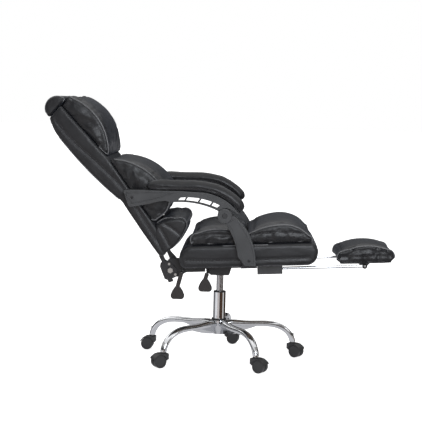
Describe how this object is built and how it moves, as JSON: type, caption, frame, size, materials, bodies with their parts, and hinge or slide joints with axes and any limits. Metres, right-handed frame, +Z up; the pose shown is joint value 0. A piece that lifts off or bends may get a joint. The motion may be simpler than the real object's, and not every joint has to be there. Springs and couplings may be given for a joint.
{
  "type": "reclining office chair",
  "caption": "Swivel office chair with a backrest that lays down, armrests linked to it, and a cushioned footrest that slides out from under the seat and flips over.",
  "frame": {"origin": "the point on the floor under the column's axis, with every wheel touching the floor at zero height", "axes": "+Z up; +X from the column towards the footrest, along the sitter's view; +Y towards the sitter's left"},
  "size_m": [1.368, 0.6374, 1.0507],
  "materials": {
    "polished_chrome": "polished",
    "lift_grey": "satin",
    "black_steel": "satin",
    "zinc_steel": "satin",
    "dark_plastic": "satin",
    "caster_plastic": "matte",
    "ring_plastic": "matte",
    "bush_plastic": "matte",
    "gloss_black": "gloss",
    "black_leather": "soft sheen",
    "plywood": "raw"
  },
  "bodies": {
    "base": {"star_base": "polished_chrome", "outer_column": "polished_chrome", "column_collars": "ring_plastic", "lift_guide_bush": "bush_plastic"},
    "lift_rod": {"lift_piston_rod": "zinc_steel", "lift_thrust_bearing": "zinc_steel"},
    "seat": {"lift_cylinder": "lift_grey", "mechanism_housing": "black_steel", "seat_frame": "black_steel", "seat_board": "plywood", "seat_body": "black_leather", "seat_rear_pillow": "black_leather", "seat_front_pillow": "black_leather", "recliner_seat_plates": "black_steel", "arm_mount_brackets": "black_steel", "footrest_guides": "dark_plastic"},
    "recline_handle": {"recline_lever_rod": "zinc_steel", "recline_lever_paddle": "gloss_black"},
    "height_handle": {"height_lever_rod": "zinc_steel", "height_lever_paddle": "gloss_black"},
    "backrest": {"recliner_back_plates": "black_steel", "recliner_bolts": "zinc_steel", "back_posts": "black_steel", "back_board": "plywood", "back_shell": "black_leather", "back_cap": "black_leather", "head_pillow": "black_leather", "mid_cushion": "black_leather", "lumbar_roll": "black_leather", "arm_pins": "zinc_steel"},
    "footrest_carriage": {"footrest_rods": "polished_chrome", "footrest_axle": "zinc_steel"},
    "footrest_cushion": {"footrest_board": "plywood", "footrest_pad": "black_leather", "footrest_brackets": "black_steel"},
    "left_link": {"left_arm_link": "dark_plastic", "left_knuckle_pin": "zinc_steel"},
    "left_armrest": {"left_arm_frame": "dark_plastic", "left_arm_pad": "black_leather"},
    "right_link": {"right_arm_link": "dark_plastic", "right_knuckle_pin": "zinc_steel"},
    "right_armrest": {"right_arm_frame": "dark_plastic", "right_arm_pad": "black_leather"},
    "caster_1": {"caster_1_housing": "caster_plastic", "caster_1_stem_axle": "zinc_steel"},
    "caster_1_rollers": {"caster_1_wheels": "caster_plastic"},
    "caster_2": {"caster_2_housing": "caster_plastic", "caster_2_stem_axle": "zinc_steel"},
    "caster_2_rollers": {"caster_2_wheels": "caster_plastic"},
    "caster_3": {"caster_3_housing": "caster_plastic", "caster_3_stem_axle": "zinc_steel"},
    "caster_3_rollers": {"caster_3_wheels": "caster_plastic"},
    "caster_4": {"caster_4_housing": "caster_plastic", "caster_4_stem_axle": "zinc_steel"},
    "caster_4_rollers": {"caster_4_wheels": "caster_plastic"},
    "caster_5": {"caster_5_housing": "caster_plastic", "caster_5_stem_axle": "zinc_steel"},
    "caster_5_rollers": {"caster_5_wheels": "caster_plastic"}
  },
  "joints": [
    {"name": "seat_swivel", "type": "hinge", "parent": "base", "child": "lift_rod", "pos_m": [0, 0, 0.103], "axis": [0, 0, 1], "continuous": true},
    {"name": "gas_lift", "type": "slide", "parent": "lift_rod", "child": "seat", "axis": [0, 0, 1], "range_m": [-0.06, 0.02]},
    {"name": "recline", "type": "hinge", "parent": "seat", "child": "backrest", "pos_m": [-0.193, 0, 0.37], "axis": [0, 1, 0], "range_deg": [0, 35], "deforming": ["lumbar_roll"]},
    {"name": "left_arm_link_turn", "type": "hinge", "parent": "seat", "child": "left_link", "pos_m": [0.114, 0.281, 0.434], "axis": [0, 1, 0], "range_deg": [0, 58]},
    {"name": "right_arm_link_turn", "type": "hinge", "parent": "seat", "child": "right_link", "pos_m": [0.114, -0.281, 0.434], "axis": [0, 1, 0], "range_deg": [0, 58]},
    {"name": "left_arm_turn", "type": "hinge", "parent": "left_link", "child": "left_armrest", "pos_m": [0.018, 0.281, 0.604], "axis": [0, 1, 0], "range_deg": [-55, 0]},
    {"name": "right_arm_turn", "type": "hinge", "parent": "right_link", "child": "right_armrest", "pos_m": [0.018, -0.281, 0.604], "axis": [0, 1, 0], "range_deg": [-55, 0]},
    {"name": "footrest_slide", "type": "slide", "parent": "seat", "child": "footrest_carriage", "axis": [0.9986, 0, 0.0523], "range_m": [-0.27, 0]},
    {"name": "footrest_flip", "type": "hinge", "parent": "footrest_carriage", "child": "footrest_cushion", "pos_m": [0.56627, 0, 0.40865], "axis": [0, 1, 0], "range_deg": [0, 180]},
    {"name": "recline_lever", "type": "hinge", "parent": "seat", "child": "recline_handle", "pos_m": [-0.147, -0.16, 0.366], "axis": [0, 1, 0], "range_deg": [0, 25], "stiffness_Nm_per_rad": 1.2, "springref_deg": -5.73},
    {"name": "height_lever", "type": "hinge", "parent": "seat", "child": "height_handle", "pos_m": [-0.048, -0.12, 0.364], "axis": [0, 1, 0], "range_deg": [0, 15], "stiffness_Nm_per_rad": 1.2, "springref_deg": -5.73},
    {"name": "caster_1_swivel", "type": "hinge", "parent": "base", "child": "caster_1", "pos_m": [0.30115, 0.05963, 0.059], "axis": [0, 0, 1], "continuous": true},
    {"name": "caster_1_roll", "type": "hinge", "parent": "caster_1", "child": "caster_1_rollers", "pos_m": [0.31754, 0.04816, 0.025], "axis": [0.5736, 0.8192, 0], "continuous": true},
    {"name": "caster_2_swivel", "type": "hinge", "parent": "base", "child": "caster_2", "pos_m": [0.03635, 0.30484, 0.059], "axis": [0, 0, 1], "continuous": true},
    {"name": "caster_2_roll", "type": "hinge", "parent": "caster_2", "child": "caster_2_rollers", "pos_m": [0.05605, 0.30137, 0.025], "axis": [0.1736, 0.9848, 0], "continuous": true},
    {"name": "caster_3_swivel", "type": "hinge", "parent": "base", "child": "caster_3", "pos_m": [-0.27869, 0.12877, 0.059], "axis": [0, 0, 1], "continuous": true},
    {"name": "caster_3_roll", "type": "hinge", "parent": "caster_3", "child": "caster_3_rollers", "pos_m": [-0.29861, 0.13051, 0.025], "axis": [-0.0872, -0.9962, 0], "continuous": true},
    {"name": "caster_4_swivel", "type": "hinge", "parent": "base", "child": "caster_4", "pos_m": [-0.20859, -0.22526, 0.059], "axis": [0, 0, 1], "continuous": true},
    {"name": "caster_4_roll", "type": "hinge", "parent": "caster_4", "child": "caster_4_rollers", "pos_m": [-0.22591, -0.23525, 0.025], "axis": [0.5, -0.866, 0], "continuous": true},
    {"name": "caster_5_swivel", "type": "hinge", "parent": "base", "child": "caster_5", "pos_m": [0.14977, -0.26799, 0.059], "axis": [0, 0, 1], "continuous": true},
    {"name": "caster_5_roll", "type": "hinge", "parent": "caster_5", "child": "caster_5_rollers", "pos_m": [0.16709, -0.27799, 0.025], "axis": [0.5, 0.866, 0], "continuous": true}
  ],
  "couplings": [
    {"joint": "left_arm_link_turn", "follows": "recline", "ratio": 1.6434},
    {"joint": "right_arm_link_turn", "follows": "recline", "ratio": 1.6434},
    {"joint": "left_arm_turn", "follows": "recline", "ratio": -1.5593},
    {"joint": "right_arm_turn", "follows": "recline", "ratio": -1.5593},
    {"joint": "footrest_flip", "follows": "footrest_slide", "rad_per_m": -11.6}
  ]
}
